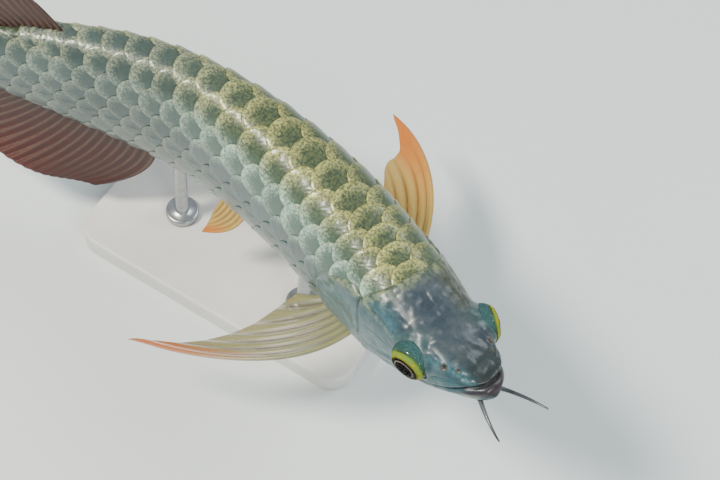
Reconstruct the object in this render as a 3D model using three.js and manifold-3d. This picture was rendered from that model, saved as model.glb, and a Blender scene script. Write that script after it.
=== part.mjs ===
// Asian arowana: a still, life-size model of the fish turning to its right, held on a plain stand.
// Millimetres, +Z up. The head points toward +X, the right side faces -Y and the tail bends toward -Y.
// The origin is the middle of the underside of the stand's base.
import * as THREE from 'three';
import { LoftGeometry } from 'three/addons/geometries/LoftGeometry.js';
import { mergeVertices } from 'three/addons/utils/BufferGeometryUtils.js';
import Module from 'manifold-3d';

const wasm = await Module();
wasm.setup();

// Driving dimensions
const LENGTH = 330;
const GAP = 0.3;
const SKIN_PLATE = 4;
const FIN_ROOT = 2.4;
const FIN_EDGE = 0.8;

// The body's outline, in hundredths of LENGTH: distance back from the snout tip, height of the back,
// height of the belly, half width, and height of the widest place. Heights are from the tail stalk's middle.
const OUTLINE = [
	{ at: - 1.2, back: 10.7, belly: 9.2, half: 0.8, wide: 10.1 },
	{ at: 0, back: 11.35, belly: 7.7, half: 1.9, wide: 9.9 },
	{ at: 2, back: 11.65, belly: 5.5, half: 3.1, wide: 9.5 },
	{ at: 5, back: 11.75, belly: 2, half: 4.3, wide: 8.5 },
	{ at: 10, back: 11.65, belly: - 3, half: 5.5, wide: 6.4 },
	{ at: 18, back: 11.5, belly: - 8.6, half: 6.5, wide: 4.1 },
	{ at: 26, back: 11.7, belly: - 11.3, half: 6.5, wide: 3.1 },
	{ at: 40, back: 12, belly: - 12.9, half: 5.8, wide: 2.9 },
	{ at: 52, back: 11.7, belly: - 12.7, half: 4.9, wide: 2.6 },
	{ at: 63, back: 10.9, belly: - 11.4, half: 4.3, wide: 2.4 },
	{ at: 74, back: 9.1, belly: - 8.7, half: 3.5, wide: 1.8 },
	{ at: 85, back: 6.4, belly: - 6, half: 2.6, wide: 0.8 },
	{ at: 93, back: 4.7, belly: - 4.6, half: 1.9, wide: 0 },
	{ at: 100, back: 4.6, belly: - 4.6, half: 1.2, wide: 0 },
];
const ROUNDNESS_ABOVE = 2.5;
const ROUNDNESS_BELOW = 2.0;

// How far the body turns to its right over each stretch, in degrees and hundredths of LENGTH
const BENDS = [
	{ turn: 14.5, from: 15, to: 45 },
	{ turn: 27, from: 40, to: 70 },
	{ turn: 2, from: 62, to: 95 },
];

// Where the body is cut across, in hundredths of LENGTH
const HEAD_END = 26.2;
const TRUNK_CUTS = [ 26.2, 44, 62, 80, 100 ];
const TRUNK_NAMES = [ 'trunk_front', 'trunk_middle', 'trunk_rear', 'tail_stalk' ];

const HALF_CUT = GAP / LENGTH * 100 / 2;

// Colours
const SLATE = '#56656a';
const CHEEK = '#8fa3a3';
const SCALE_GREEN = '#7f8f74';
const LIP = '#6d5a5e';
const FIN_GOLD = '#c9a45a';
const FIN_MAROON = '#7a4438';
const BARBEL_GREY = '#3d4346';
const EYE_YELLOW = '#a8a43c';
const STEEL = '#b9bcbe';
const BASE_PAINT = '#d8d6d0';

const hundredth = ( value ) => value * LENGTH / 100;
const smooth = ( value ) => THREE.MathUtils.smoothstep( value, 0, 1 );

// Smooth curve through a column of the outline, without overshoot
function alongOutline( at, column ) {

	const rows = OUTLINE;
	const last = rows.length - 1;
	const place = THREE.MathUtils.clamp( at, rows[ 0 ].at, rows[ last ].at );
	let i = 0;
	while ( i < last - 1 && rows[ i + 1 ].at <= place ) i ++;
	const step = rows[ i + 1 ].at - rows[ i ].at;
	const t = ( place - rows[ i ].at ) / step;
	const slopeIn = outlineSlope( i, column ) * step;
	const slopeOut = outlineSlope( i + 1, column ) * step;
	const rise = rows[ i + 1 ][ column ] - rows[ i ][ column ];
	const curve = ( 3 * rise - 2 * slopeIn - slopeOut ) * t * t + ( slopeIn + slopeOut - 2 * rise ) * t * t * t;
	return hundredth( rows[ i ][ column ] + slopeIn * t + curve );

}

function outlineSlope( i, column ) {

	const span = ( a, b ) => {

		const [ from, to ] = [ OUTLINE[ a ], OUTLINE[ b ] ];
		return ( to[ column ] - from[ column ] ) / ( to.at - from.at );

	};

	if ( i === 0 ) return span( 0, 1 );
	if ( i === OUTLINE.length - 1 ) return span( i - 1, i );
	const before = span( i - 1, i );
	const after = span( i, i + 1 );
	return before * after > 0 ? 2 * before * after / ( before + after ) : 0;

}

// The spine's line at the height of the tail stalk's middle, traced backward from the snout tip at the origin
const SPINE_STEP = 0.5;
const SPINE_START = - 10;
const SPINE_END = 125;
const spinePoints = traceSpine();

function headingAt( at ) {

	const turned = BENDS.map( ( bend ) => bend.turn * smooth( ( at - bend.from ) / ( bend.to - bend.from ) ) );
	return THREE.MathUtils.degToRad( turned.reduce( ( sum, turn ) => sum + turn, 0 ) );

}

function traceSpine() {

	const point = new THREE.Vector3( hundredth( - SPINE_START ), 0, 0 );
	const points = [ point.clone() ];
	for ( let at = SPINE_START; at < SPINE_END; at += SPINE_STEP ) {

		const heading = headingAt( at + SPINE_STEP / 2 );
		point.x -= Math.cos( heading ) * hundredth( SPINE_STEP );
		point.y -= Math.sin( heading ) * hundredth( SPINE_STEP );
		points.push( point.clone() );

	}

	return points;

}

// A point given by its distance back along the spine, its distance to the left and its height
function place( at, left, height ) {

	const steps = ( at - SPINE_START ) / SPINE_STEP;
	const i = THREE.MathUtils.clamp( Math.floor( steps ), 0, spinePoints.length - 2 );
	const heading = headingAt( at );
	const point = spinePoints[ i ].clone().lerp( spinePoints[ i + 1 ], steps - i );
	point.x -= Math.sin( heading ) * left;
	point.y += Math.cos( heading ) * left;
	point.z = height;
	return point;

}

// A point of the body's surface, moved outward by grow. The angle runs from the back over the left side.
function bodyPoint( at, angle, grow = 0 ) {

	const above = Math.cos( angle ) > 0;
	const power = 2 / ( above ? ROUNDNESS_ABOVE : ROUNDNESS_BELOW );
	const swing = ( value ) => Math.sign( value ) * Math.abs( value ) ** power;
	const wide = alongOutline( at, 'wide' );
	const half = alongOutline( at, 'half' ) + grow;
	const reach = above ? alongOutline( at, 'back' ) - wide + grow : wide - alongOutline( at, 'belly' ) + grow;
	return place( at, half * swing( Math.sin( angle ) ), wide + reach * swing( Math.cos( angle ) ) );

}

// A length of the body between two places, as a loft of rings
function bodyLength( from, to, rings, around, grow = 0 ) {

	const sections = [];
	for ( let i = 0; i <= rings; i ++ ) {

		const at = from + ( to - from ) * i / rings;
		const ring = [];
		for ( let j = 0; j < around; j ++ ) ring.push( bodyPoint( at, j / around * 2 * Math.PI, grow ) );
		sections.push( ring );

	}

	return new LoftGeometry( sections, { capStart: true, capEnd: true } );

}

// Solids and geometries
function toSolid( geometry ) {

	const bare = new THREE.BufferGeometry().copy( geometry );
	bare.deleteAttribute( 'normal' );
	bare.deleteAttribute( 'uv' );
	const merged = mergeVertices( bare, 1e-4 );
	const vertProperties = new Float32Array( merged.attributes.position.array );
	const triVerts = new Uint32Array( merged.index.array );
	return new wasm.Manifold( new wasm.Mesh( { numProp: 3, vertProperties, triVerts } ) );

}

function toGeometry( solid ) {

	const mesh = solid.getMesh();
	const geometry = new THREE.BufferGeometry();
	geometry.setAttribute( 'position', new THREE.BufferAttribute( mesh.vertProperties, 3 ) );
	geometry.setIndex( new THREE.BufferAttribute( mesh.triVerts, 1 ) );
	geometry.computeVertexNormals();
	return geometry;

}

// A thin plate about a curved middle surface. middle( u, v ) gives its points, u from root to edge.
function plate( middle, uSteps, vSteps ) {

	const normalAt = ( u, v ) => {

		const small = 0.01;
		const alongU = middle( Math.min( u + small, 1 ), v ).sub( middle( Math.max( u - small, 0 ), v ) );
		const alongV = middle( u, Math.min( v + small, 1 ) ).sub( middle( u, Math.max( v - small, 0 ) ) );
		return alongU.cross( alongV ).normalize();

	};

	const positions = [];
	for ( const sign of [ 1, - 1 ] ) {

		for ( let j = 0; j <= vSteps; j ++ ) {

			for ( let i = 0; i <= uSteps; i ++ ) {

				const [ u, v ] = [ i / uSteps, j / vSteps ];
				const thickness = THREE.MathUtils.lerp( FIN_ROOT, FIN_EDGE, u );
				const point = middle( u, v ).addScaledVector( normalAt( u, v ), sign * thickness / 2 );
				positions.push( point.x, point.y, point.z );

			}

		}

	}

	const index = [];
	const perSide = ( uSteps + 1 ) * ( vSteps + 1 );
	const corner = ( side, i, j ) => side * perSide + j * ( uSteps + 1 ) + i;
	const quad = ( ...corners ) => {

		const [ a, b, c, d ] = corners.map( ( [ side, i, j ] ) => corner( side, i, j ) );
		index.push( a, b, c, a, c, d );

	};

	for ( let j = 0; j < vSteps; j ++ ) {

		for ( let i = 0; i < uSteps; i ++ ) {

			quad( [ 0, i, j ], [ 0, i + 1, j ], [ 0, i + 1, j + 1 ], [ 0, i, j + 1 ] );
			quad( [ 1, i, j ], [ 1, i, j + 1 ], [ 1, i + 1, j + 1 ], [ 1, i + 1, j ] );

		}

		quad( [ 0, 0, j ], [ 0, 0, j + 1 ], [ 1, 0, j + 1 ], [ 1, 0, j ] );
		quad( [ 0, uSteps, j ], [ 1, uSteps, j ], [ 1, uSteps, j + 1 ], [ 0, uSteps, j + 1 ] );

	}

	for ( let i = 0; i < uSteps; i ++ ) {

		quad( [ 0, i, 0 ], [ 1, i, 0 ], [ 1, i + 1, 0 ], [ 0, i + 1, 0 ] );
		quad( [ 0, i, vSteps ], [ 0, i + 1, vSteps ], [ 1, i + 1, vSteps ], [ 1, i, vSteps ] );

	}

	const geometry = new THREE.BufferGeometry();
	geometry.setAttribute( 'position', new THREE.Float32BufferAttribute( positions, 3 ) );
	geometry.setIndex( index );
	return geometry;

}

function named( name, geometry, color, roughness = 0.35, metalness = 0 ) {

	const mesh = new THREE.Mesh( geometry, new THREE.MeshStandardMaterial( { color, roughness, metalness } ) );
	mesh.name = name;
	return mesh;

}

const fish = new THREE.Group();
const FRONT = OUTLINE[ 0 ].at;
const wholeHead = toSolid( bodyLength( FRONT - 2 * HALF_CUT, HEAD_END, 20, 32, GAP ) );
const wholeBody = wholeHead.add( toSolid( bodyLength( HEAD_END - 1, 100, 26, 32, GAP ) ) );
const clearOfBody = ( geometry ) => toGeometry( toSolid( geometry ).subtract( wholeBody ) );

// Head: the skull with the upper jaw, the lower jaw, two gill covers and two eyes in their sockets.
// Outlines are in side view: distance back and height, in hundredths of LENGTH.
const MOUTH_LINE = [ [ - 4, 12.6 ], [ 0.2, 11.3 ], [ 1, 10.7 ], [ 2.5, 9.1 ], [ 5, 6.5 ], [ 12.6, - 0.4 ] ];
const JAW_OUTLINE = [ ...MOUTH_LINE, [ 14.6, - 7.5 ], [ 12, - 14 ], [ - 4, - 14 ] ];
const GILL_FRONT = [ [ 17, - 6 ], [ 15.8, - 2 ], [ 15.9, 3.4 ], [ 17.2, 8.6 ] ];
const GILL_EDGE = { at: 17.2, height: 0.2, back: 8.2, up: 8.5, down: 6.2, steps: 10 };
// In the photo the left eye sits a little farther forward than the right one.
const EYE = { at: 7.9, leftAhead: 0.7, height: 8.2, radius: 2.6, depth: 2.2, bulge: 1.8, toe: 18 };
const HEAD_WIDTH = 60;

// A prism right across the head from an outline in side view
function sidePrism( points, grow = 0 ) {

	const toCorner = ( [ at, height ] ) => new THREE.Vector2( - hundredth( at ), hundredth( height ) );
	const shape = new THREE.Shape( points.map( toCorner ) );
	const bevel = { bevelEnabled: grow > 0, bevelSize: grow, bevelThickness: grow, bevelSegments: 1 };
	const prism = new THREE.ExtrudeGeometry( shape, { depth: HEAD_WIDTH * 2, ...bevel } );
	prism.rotateX( Math.PI / 2 );
	prism.translate( 0, HEAD_WIDTH, 0 );
	return toSolid( prism );

}

function gillCoverOutline() {

	const points = [ ...GILL_FRONT ];
	for ( let i = 1; i < GILL_EDGE.steps; i ++ ) {

		const angle = Math.PI / 2 - i / GILL_EDGE.steps * Math.PI;
		const rise = Math.sin( angle ) * ( angle > 0 ? GILL_EDGE.up : GILL_EDGE.down );
		points.push( [ GILL_EDGE.at + GILL_EDGE.back * Math.cos( angle ), GILL_EDGE.height + rise ] );

	}

	return points;

}

function eyeball( side, grow = 0 ) {

	const radius = hundredth( EYE.radius ) + grow;
	const depth = hundredth( EYE.depth ) + grow;
	const out = alongOutline( EYE.at, 'half' ) + hundredth( EYE.bulge - EYE.depth );
	const globe = new THREE.SphereGeometry( 1, 16, 10 );
	globe.rotateX( Math.PI / 2 );
	globe.scale( radius, depth, radius );
	globe.rotateZ( - side * THREE.MathUtils.degToRad( EYE.toe ) );
	const at = EYE.at - ( side > 0 ? EYE.leftAhead : 0 );
	globe.translate( - hundredth( at ), side * out, hundredth( EYE.height ) );
	return globe;

}

function addHead() {

	const whole = toSolid( bodyLength( FRONT, HEAD_END - HALF_CUT, 20, 32 ) );
	const core = toSolid( bodyLength( EYE.at, HEAD_END + 1, 12, 32, - SKIN_PLATE ) );
	const coreBehindGap = toSolid( bodyLength( EYE.at, HEAD_END + 1, 12, 32, - SKIN_PLATE - GAP ) );
	const cover = gillCoverOutline();
	const slots = sidePrism( cover, GAP ).subtract( coreBehindGap );
	let skull = whole.subtract( sidePrism( JAW_OUTLINE, GAP ) ).subtract( slots );
	for ( const side of [ 1, - 1 ] ) skull = skull.subtract( toSolid( eyeball( side, GAP ) ) );
	fish.add( named( 'head', toGeometry( skull ), SLATE ) );
	fish.add( named( 'lower_jaw', toGeometry( whole.intersect( sidePrism( JAW_OUTLINE ) ) ), LIP ) );
	for ( const piece of whole.intersect( sidePrism( cover ) ).subtract( core ).decompose() ) {

		const box = piece.boundingBox();
		const side = box.min[ 1 ] + box.max[ 1 ] > 0 ? 'left' : 'right';
		fish.add( named( `gill_cover_${ side }`, toGeometry( piece ), CHEEK ) );

	}

	fish.add( named( 'eye_left', eyeball( 1 ), EYE_YELLOW, 0.1 ) );
	fish.add( named( 'eye_right', eyeball( - 1 ), EYE_YELLOW, 0.1 ) );

}

function addTrunk() {

	TRUNK_NAMES.forEach( ( name, i ) => {

		const from = TRUNK_CUTS[ i ] + HALF_CUT;
		const to = TRUNK_CUTS[ i + 1 ] - HALF_CUT;
		fish.add( named( name, bodyLength( from, to, 6, 32 ), SCALE_GREEN ) );

	} );

}

// Fins. Each is a fan of rays from a root line inside the body to a curved margin: a ray leaves its
// root toward its bend and ends on the margin. Points are distance back, distance out and height, in
// hundredths of LENGTH. Out is to the left on the middle fins and away from the body on the paired ones.
const DORSAL_FIN = {
	root: [ [ 71.5, 0, 8.2 ], [ 88, 0, 3.9 ] ],
	bend: [ [ 72.6, 0, 11 ], [ 92.5, 0, 6 ] ],
	margin: [ [ 75, 0, 13.4 ], [ 81, 0, 17.2 ], [ 88, 0, 17.4 ],
		[ 94, 0, 14.8 ], [ 97, 0, 10.8 ], [ 95.6, 0, 7.4 ] ],
	steps: [ 6, 11 ],
};
const ANAL_FIN = {
	root: [ [ 60.4, 0, - 10.4 ], [ 89, 0, - 3.8 ] ],
	bend: [ [ 60, - 0.6, - 18.8 ], [ 94, - 0.1, - 5.8 ] ],
	margin: [ [ 69.3, - 3.5, - 21.6 ], [ 77, - 4, - 20.8 ], [ 86, - 3, - 17 ], [ 94.5, - 1.4, - 11.8 ],
		[ 96, - 0.4, - 7.6 ] ],
	steps: [ 6, 13 ],
};
const TAIL_FIN = {
	root: [ [ 98, 0, 4 ], [ 98, 0, - 4 ] ],
	bend: [ [ 104, 0, 6.6 ], [ 104, 0, - 6.6 ] ],
	margin: [ [ 110, 0, 9 ], [ 114.6, 0, 6.6 ], [ 117, 0, 0 ], [ 114.6, 0, - 6.6 ], [ 110, 0, - 9 ] ],
	steps: [ 6, 11 ],
};
const PECTORAL_FIN_RIGHT = {
	root: [ [ 20, 2.9, - 8 ], [ 26, 2.6, - 8.4 ] ],
	bend: [ [ 19, 17.8, - 10.6 ], [ 28.2, 4.6, - 9 ] ],
	margin: [ [ 44.6, 24.3, - 16.5 ], [ 36, 19.4, - 14.4 ], [ 30.8, 13.2, - 12 ], [ 29.6, 5.5, - 9.6 ] ],
	steps: [ 11, 6 ],
};
const PECTORAL_FIN_LEFT = {
	root: PECTORAL_FIN_RIGHT.root,
	bend: [ [ 30, 24.2, - 10 ], [ 29, 8, - 8.6 ] ],
	margin: [ [ 42.7, 27.5, - 16.5 ], [ 37.8, 22, - 13.6 ], [ 36.8, 17.8, - 11.6 ], [ 33.9, 13.7, - 9.2 ] ],
	steps: [ 11, 6 ],
};
const PELVIC_FIN = {
	root: [ [ 44.2, 1.4, - 12 ], [ 48.6, 1.6, - 12 ] ],
	bend: [ [ 44.3, 3.6, - 16.3 ], [ 49, 2.2, - 13.4 ] ],
	margin: [ [ 49.6, 5.1, - 18 ], [ 49.2, 4.4, - 16.4 ], [ 48.9, 3.2, - 14.4 ] ],
	steps: [ 7, 5 ],
};

const toVector = ( point ) => new THREE.Vector3( ...point );
const between = ( [ first, last ], t ) => toVector( first ).lerp( toVector( last ), t );

function fan( fin, side = 1 ) {

	const margin = new THREE.CatmullRomCurve3( fin.margin.map( toVector ) );
	return ( u, v ) => {

		const [ root, bend ] = [ between( fin.root, v ), between( fin.bend, v ) ];
		const point = new THREE.QuadraticBezierCurve3( root, bend, margin.getPoint( v ) ).getPoint( u );
		return place( point.x, side * hundredth( point.y ), hundredth( point.z ) );

	};

}

function addFin( name, fin, color, side ) {

	fish.add( named( name, clearOfBody( plate( fan( fin, side ), ...fin.steps ) ), color ) );

}

function addFins() {

	addFin( 'dorsal_fin', DORSAL_FIN, FIN_MAROON );
	addFin( 'anal_fin', ANAL_FIN, FIN_MAROON );
	addFin( 'tail_fin', TAIL_FIN, FIN_MAROON );
	addFin( 'pectoral_fin_left', PECTORAL_FIN_LEFT, FIN_GOLD, 1 );
	addFin( 'pectoral_fin_right', PECTORAL_FIN_RIGHT, FIN_GOLD, - 1 );
	addFin( 'pelvic_fin_left', PELVIC_FIN, FIN_GOLD, 1 );
	addFin( 'pelvic_fin_right', PELVIC_FIN, FIN_GOLD, - 1 );

}

// Barbels: two tapering feelers from the tip of the lower jaw. Their points are written as the fins' are.
const BARBEL_LEFT = [ [ 0.5, 0.9, 8.6 ], [ - 2, 3.6, 8 ], [ - 5.4, 4.6, 9.2 ] ];
const BARBEL_RIGHT = [ [ 0.5, 0.9, 8.6 ], [ - 3.1, 1.8, 7.7 ], [ - 5.5, 2.2, 8.6 ] ];
const BARBEL_RADIUS = { root: 1.1, tip: 0.5 };
const BARBEL_STEPS = 8;

function barbel( points, side ) {

	const path = new THREE.QuadraticBezierCurve3( ...points.map( toVector ) );
	const sections = [];
	for ( let i = 0; i <= BARBEL_STEPS; i ++ ) {

		const point = path.getPoint( i / BARBEL_STEPS );
		const radius = THREE.MathUtils.lerp( BARBEL_RADIUS.root, BARBEL_RADIUS.tip, i / BARBEL_STEPS );
		const ring = [];
		for ( let j = 0; j < BARBEL_STEPS; j ++ ) {

			const angle = - j / BARBEL_STEPS * 2 * Math.PI;
			const left = side * hundredth( point.y ) + radius * Math.sin( angle );
			ring.push( place( point.x, left, hundredth( point.z ) + radius * Math.cos( angle ) ) );

		}

		sections.push( ring );

	}

	return new LoftGeometry( sections, { capStart: true, capEnd: true } );

}

function addBarbels() {

	fish.add( named( 'barbel_left', clearOfBody( barbel( BARBEL_LEFT, 1 ) ), BARBEL_GREY ) );
	fish.add( named( 'barbel_right', clearOfBody( barbel( BARBEL_RIGHT, - 1 ) ), BARBEL_GREY ) );

}

// Stand: a flat base and two rods with collars that end just under the belly
const BASE = { length: 150, width: 64, height: 12, corner: 12, bevel: 1.5 };
const ROD = { radius: 3, collarRadius: 8, collarHeight: 4, chamfer: 1, around: 20, places: [ 34, 57 ] };
const BELLY_CLEARANCE = 46;

function standBase() {

	const corner = BASE.corner - BASE.bevel;
	const along = BASE.length / 2 - BASE.corner;
	const across = BASE.width / 2 - BASE.corner;
	const shape = new THREE.Shape();
	[ [ 1, 1 ], [ - 1, 1 ], [ - 1, - 1 ], [ 1, - 1 ] ].forEach( ( [ x, y ], quarter ) => {

		const start = quarter * Math.PI / 2;
		shape.absarc( x * along, y * across, corner, start, start + Math.PI / 2 );

	} );
	const bevel = { bevelSize: BASE.bevel, bevelThickness: BASE.bevel, bevelSegments: 1 };
	const depth = BASE.height - 2 * BASE.bevel;
	const slab = new THREE.ExtrudeGeometry( shape, { depth, curveSegments: 5, ...bevel } );
	return slab.translate( 0, 0, BASE.bevel );

}

function standRod( top ) {

	const { radius, collarRadius, collarHeight, chamfer, around } = ROD;
	const bottom = BASE.height + GAP;
	const profile = [
		[ 0, bottom ],
		[ collarRadius, bottom ],
		[ collarRadius, bottom + collarHeight - chamfer ],
		[ collarRadius - chamfer, bottom + collarHeight ],
		[ radius, bottom + collarHeight ],
		[ radius, top ],
		[ 0, top ],
	];
	const points = profile.map( ( [ out, height ] ) => new THREE.Vector2( out, height ) );
	return new THREE.LatheGeometry( points, around ).rotateX( Math.PI / 2 );

}

// The fish is turned so that the line from its snout to the end of its tail fin lies along X, and lifted
// so that its belly stands over the base
const UP = new THREE.Vector3( 0, 0, 1 );
const tailEnd = place( TAIL_FIN.margin[ 2 ][ 0 ], 0, 0 );
const chordTurn = - Math.atan2( - tailEnd.y, - tailEnd.x );
const lowestBelly = hundredth( Math.min( ...OUTLINE.map( ( row ) => row.belly ) ) );
const lift = BASE.height + BELLY_CLEARANCE - lowestBelly;
const rodFeet = ROD.places.map( ( at ) => place( at, 0, 0 ).applyAxisAngle( UP, chordTurn ) );
const baseMiddle = rodFeet[ 0 ].clone().lerp( rodFeet[ 1 ], 0.5 );

function addRods( model ) {

	const turnedBody = toGeometry( wholeBody ).rotateZ( chordTurn );
	const body = toSolid( turnedBody.translate( - baseMiddle.x, - baseMiddle.y, lift ) );
	[ 'stand_rod_front', 'stand_rod_rear' ].forEach( ( name, i ) => {

		const foot = rodFeet[ i ].clone().sub( baseMiddle );
		const rod = toSolid( standRod( lift ).translate( foot.x, foot.y, 0 ) ).subtract( body );
		model.add( named( name, toGeometry( rod ), STEEL, 0.3, 1 ) );

	} );

}

addHead();
addTrunk();
addFins();
addBarbels();
fish.rotation.z = chordTurn;
fish.position.set( - baseMiddle.x, - baseMiddle.y, lift );

const model = new THREE.Group();
model.add( fish );
model.add( named( 'stand_base', standBase(), BASE_PAINT, 0.5 ) );
addRods( model );

export default model;
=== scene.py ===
# Asian arowana: the looks of a still, life-size model of the fish, turning to its right on a plain stand.
# Metres, +Z up. Along the fish, "at" is the distance back from the snout tip on the spine's line, "left" the
# distance to the fish's left and "height" that above the tail stalk's middle, all in hundredths of LENGTH.
# A "share" is how far round the body a point lies: 0 on the back, 1 on the belly, below 0 on the right side.
import math
import bpy
import numpy as np
from mathutils import Matrix, Vector


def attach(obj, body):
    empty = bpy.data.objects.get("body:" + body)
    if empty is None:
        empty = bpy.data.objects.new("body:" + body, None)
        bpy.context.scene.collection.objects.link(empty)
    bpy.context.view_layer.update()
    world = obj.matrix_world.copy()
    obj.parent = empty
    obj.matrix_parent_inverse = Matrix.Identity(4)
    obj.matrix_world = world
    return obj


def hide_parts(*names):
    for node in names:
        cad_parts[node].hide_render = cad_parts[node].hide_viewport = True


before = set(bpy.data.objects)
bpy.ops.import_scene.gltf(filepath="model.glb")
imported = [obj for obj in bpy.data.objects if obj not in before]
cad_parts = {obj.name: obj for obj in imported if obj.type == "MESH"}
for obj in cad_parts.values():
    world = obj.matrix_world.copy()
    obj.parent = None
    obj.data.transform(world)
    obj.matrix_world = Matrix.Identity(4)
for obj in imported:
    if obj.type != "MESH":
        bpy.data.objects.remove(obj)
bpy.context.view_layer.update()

# Driving dimensions
LENGTH = 0.33
UNIT = LENGTH / 100
MM = 0.001
MM_IN_UNITS = MM / UNIT
COAT = 1.5 * MM_IN_UNITS

# The body's outline: at, back, belly, half width, and height of the widest place
OUTLINE = np.array([
    (-1.2, 10.7, 9.2, 0.8, 10.1),
    (0, 11.35, 7.7, 1.9, 9.9),
    (2, 11.65, 5.5, 3.1, 9.5),
    (5, 11.75, 2.0, 4.3, 8.5),
    (10, 11.65, -3.0, 5.5, 6.4),
    (18, 11.5, -8.6, 6.5, 4.1),
    (26, 11.7, -11.3, 6.5, 3.1),
    (40, 12, -12.9, 5.8, 2.9),
    (52, 11.7, -12.7, 4.9, 2.6),
    (63, 10.9, -11.4, 4.3, 2.4),
    (74, 9.1, -8.7, 3.5, 1.8),
    (85, 6.4, -6.0, 2.6, 0.8),
    (93, 4.7, -4.6, 1.9, 0),
    (100, 4.6, -4.6, 1.2, 0),
])
AT, BACK, BELLY, HALF, WIDE = range(5)
ROUNDNESS_ABOVE = 2.5
ROUNDNESS_BELOW = 2.0

# How far the body turns to its right over each stretch: degrees, from, to
BENDS = [(14.5, 15, 45), (27, 40, 70), (2, 62, 95)]

# The stand
BASE_LENGTH, BASE_WIDTH, BASE_HEIGHT = 0.15, 0.064, 0.012
BASE_CORNER, BASE_BEVEL = 0.012, 0.0015
ROD_RADIUS, COLLAR_RADIUS, COLLAR_HEIGHT = 0.003, 0.008, 0.004
ROD_PLACES = (34, 57)
BELLY_CLEARANCE = 0.046
TAIL_END = 117


def smooth(value):
    """0 below 0, 1 above 1, and an easy slope between."""
    value = np.clip(value, 0, 1)
    return value * value * (3 - 2 * value)


def hump(value, width):
    """A soft ridge of height 1 about 0."""
    return np.exp(-((value / width) ** 2))


def mix(first, second, share):
    return first + (second - first) * share


def stacked(*parts):
    """Coordinates, or the corners of faces, side by side in the last place."""
    return np.stack(np.broadcast_arrays(*parts), axis=-1)


def circle(count):
    """Even angles round a circle."""
    return np.arange(count) / count * 2 * math.pi


# The body's form
def along_outline(at, column):
    """Smooth curve through a column of the outline, without overshoot."""
    places, values = OUTLINE[:, AT], OUTLINE[:, column]
    spans = np.diff(values) / np.diff(places)
    before, after = spans[:-1], spans[1:]
    total = np.where(before + after == 0, 1, before + after)
    inner = np.where(before * after > 0, 2 * before * after / total, 0)
    slopes = np.concatenate([spans[:1], inner, spans[-1:]])
    at = np.clip(at, places[0], places[-1])
    i = np.clip(np.searchsorted(places, at, side="right") - 1, 0, len(places) - 2)
    step = places[i + 1] - places[i]
    t = (at - places[i]) / step
    rise = values[i + 1] - values[i]
    slope_in, slope_out = slopes[i] * step, slopes[i + 1] * step
    curve = (3 * rise - 2 * slope_in - slope_out) * t**2 + (slope_in + slope_out - 2 * rise) * t**3
    return values[i] + slope_in * t + curve


def heading(at):
    """How far the spine has turned at a place, in radians."""
    return np.radians(sum(turn * smooth((at - start) / (end - start)) for turn, start, end in BENDS))


SPINE_STEP = 0.1
SPINE_AT = np.arange(-20, 130, SPINE_STEP)
SPINE_MIDDLES = heading(SPINE_AT[:-1] + SPINE_STEP / 2)
SPINE_X = np.concatenate([[0], -np.cumsum(np.cos(SPINE_MIDDLES)) * SPINE_STEP])
SPINE_Y = np.concatenate([[0], -np.cumsum(np.sin(SPINE_MIDDLES)) * SPINE_STEP])
SPINE_X -= np.interp(0, SPINE_AT, SPINE_X)
SPINE_Y -= np.interp(0, SPINE_AT, SPINE_Y)

def on_spine(at):
    """The level place of the spine's line, in units of the fish's own frame."""
    return np.array([np.interp(at, SPINE_AT, line) for line in (SPINE_X, SPINE_Y)])


# The fish stands turned so that the line from snout to tail end lies along X, over the base's middle
tail_x, tail_y = on_spine(TAIL_END)
CHORD_TURN = -math.atan2(-tail_y, -tail_x)
LIFT = BASE_HEIGHT + BELLY_CLEARANCE - OUTLINE[:, BELLY].min() * UNIT


def turned(x, y):
    """A level place of the fish's own frame, turned as the fish stands."""
    c, s = math.cos(CHORD_TURN), math.sin(CHORD_TURN)
    return x * c - y * s, x * s + y * c


ROD_FEET = [turned(*on_spine(at) * UNIT) for at in ROD_PLACES]
BASE_MIDDLE = np.mean(ROD_FEET, axis=0)


def to_frame(x, y, z):
    """Points of the fish's own frame in metres, as they stand in the row's frame."""
    x, y = turned(x, y)
    return stacked(x - BASE_MIDDLE[0], y - BASE_MIDDLE[1], z + LIFT)


def place(at, left, height):
    """Points given along the fish, in the row's frame."""
    turn = heading(at)
    x, y = on_spine(at)
    return to_frame((x - np.sin(turn) * left) * UNIT, (y + np.cos(turn) * left) * UNIT, height * UNIT)


def section(at, angle, grow=0):
    """Left and height of the body's surface. The angle runs from the back over the left side."""
    above = np.cos(angle) > 0
    power = 2 / np.where(above, ROUNDNESS_ABOVE, ROUNDNESS_BELOW)
    wide = along_outline(at, WIDE)
    reach = np.where(above, along_outline(at, BACK) - wide, wide - along_outline(at, BELLY)) + grow
    left = (along_outline(at, HALF) + grow) * np.sign(np.sin(angle)) * np.abs(np.sin(angle)) ** power
    return left, wide + reach * np.sign(np.cos(angle)) * np.abs(np.cos(angle)) ** power


# Angles by share, so that shares are even lengths round the body
TABLE_AT = np.linspace(-1.2, 100, 170)
TABLE_SHARES = np.linspace(0, 1, 161)


def make_round_tables():
    angles = np.linspace(0, math.pi, 901)
    rows, halves = [], []
    for at in TABLE_AT:
        left, height = section(at, angles)
        lengths = np.concatenate([[0], np.cumsum(np.hypot(np.diff(left), np.diff(height)))])
        rows.append(np.interp(TABLE_SHARES, lengths / lengths[-1], angles))
        halves.append(lengths[-1])
    return np.array(rows), np.array(halves)


ANGLES, HALF_ROUNDS = make_round_tables()


def half_round(at):
    """Length over one side of the body, from back to belly."""
    return np.interp(at, TABLE_AT, HALF_ROUNDS)


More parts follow.
